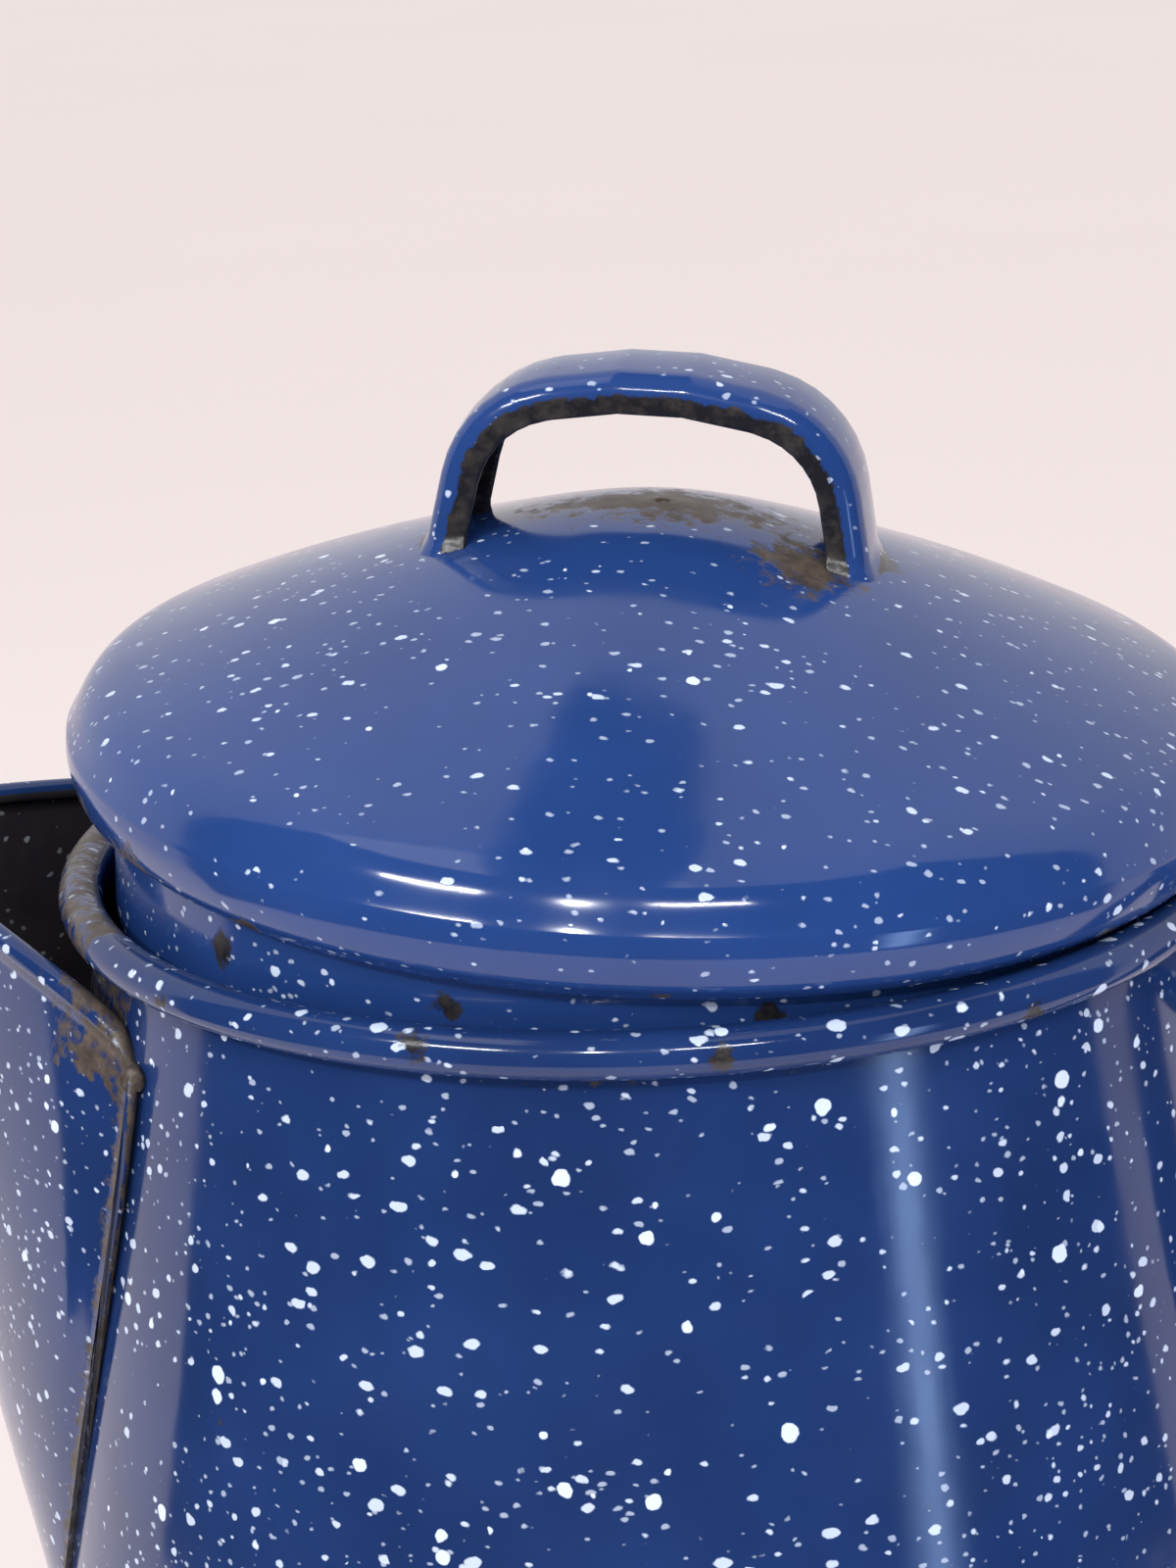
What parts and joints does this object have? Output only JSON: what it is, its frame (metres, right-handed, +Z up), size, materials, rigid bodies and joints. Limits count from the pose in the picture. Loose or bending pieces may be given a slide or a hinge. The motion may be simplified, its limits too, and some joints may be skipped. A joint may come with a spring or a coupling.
{
  "type": "coffee percolator",
  "caption": "Speckled enamel stovetop coffee percolator: flared pot with V spout and strap handle, lift-off domed lid, and a pump tube with perforated basket inside.",
  "frame": {"origin": "on the pot's axis, on the flat face it stands on", "axes": "+Z up along the pot's axis, spout towards -X, rear handle towards +X"},
  "size_m": [0.214, 0.168, 0.2229],
  "materials": {
    "enamel_pot": "glossy vitreous enamel, white speckle",
    "enamel_lid": "glossy vitreous enamel, fine white speckle",
    "aluminium": "brushed, bare"
  },
  "bodies": {
    "pot": {"pot_wall": "enamel_pot", "pot_base": "enamel_pot", "spout": "enamel_pot", "rear_handle": "enamel_pot"},
    "lid": {"lid_dome": "enamel_lid", "lid_collar": "enamel_lid", "lid_handle": "enamel_lid"},
    "pump": {"pump_base": "aluminium", "pump_tube": "aluminium", "basket_stop": "aluminium"},
    "basket": {"basket_cup": "aluminium", "basket_sleeve": "aluminium"},
    "spreader": {"basket_cover": "aluminium", "cover_hub": "aluminium"}
  },
  "joints": [
    {"name": "lid_lift", "type": "slide", "parent": "pot", "child": "lid", "axis": [0, 0, 1], "range_m": [0, 0.26]},
    {"name": "pump_lift", "type": "slide", "parent": "pot", "child": "pump", "axis": [0, 0, 1], "range_m": [0, 0.169]},
    {"name": "basket_lift", "type": "slide", "parent": "pump", "child": "basket", "axis": [0, 0, 1], "range_m": [0, 0.039]},
    {"name": "cover_lift", "type": "slide", "parent": "basket", "child": "spreader", "axis": [0, 0, 1], "range_m": [0, 0.026]}
  ],
  "couplings": [
    {"joint": "pump_lift", "follows": "lid_lift", "ratio": 0.65},
    {"joint": "basket_lift", "follows": "lid_lift", "ratio": 0.15},
    {"joint": "cover_lift", "follows": "lid_lift", "ratio": 0.1}
  ]
}
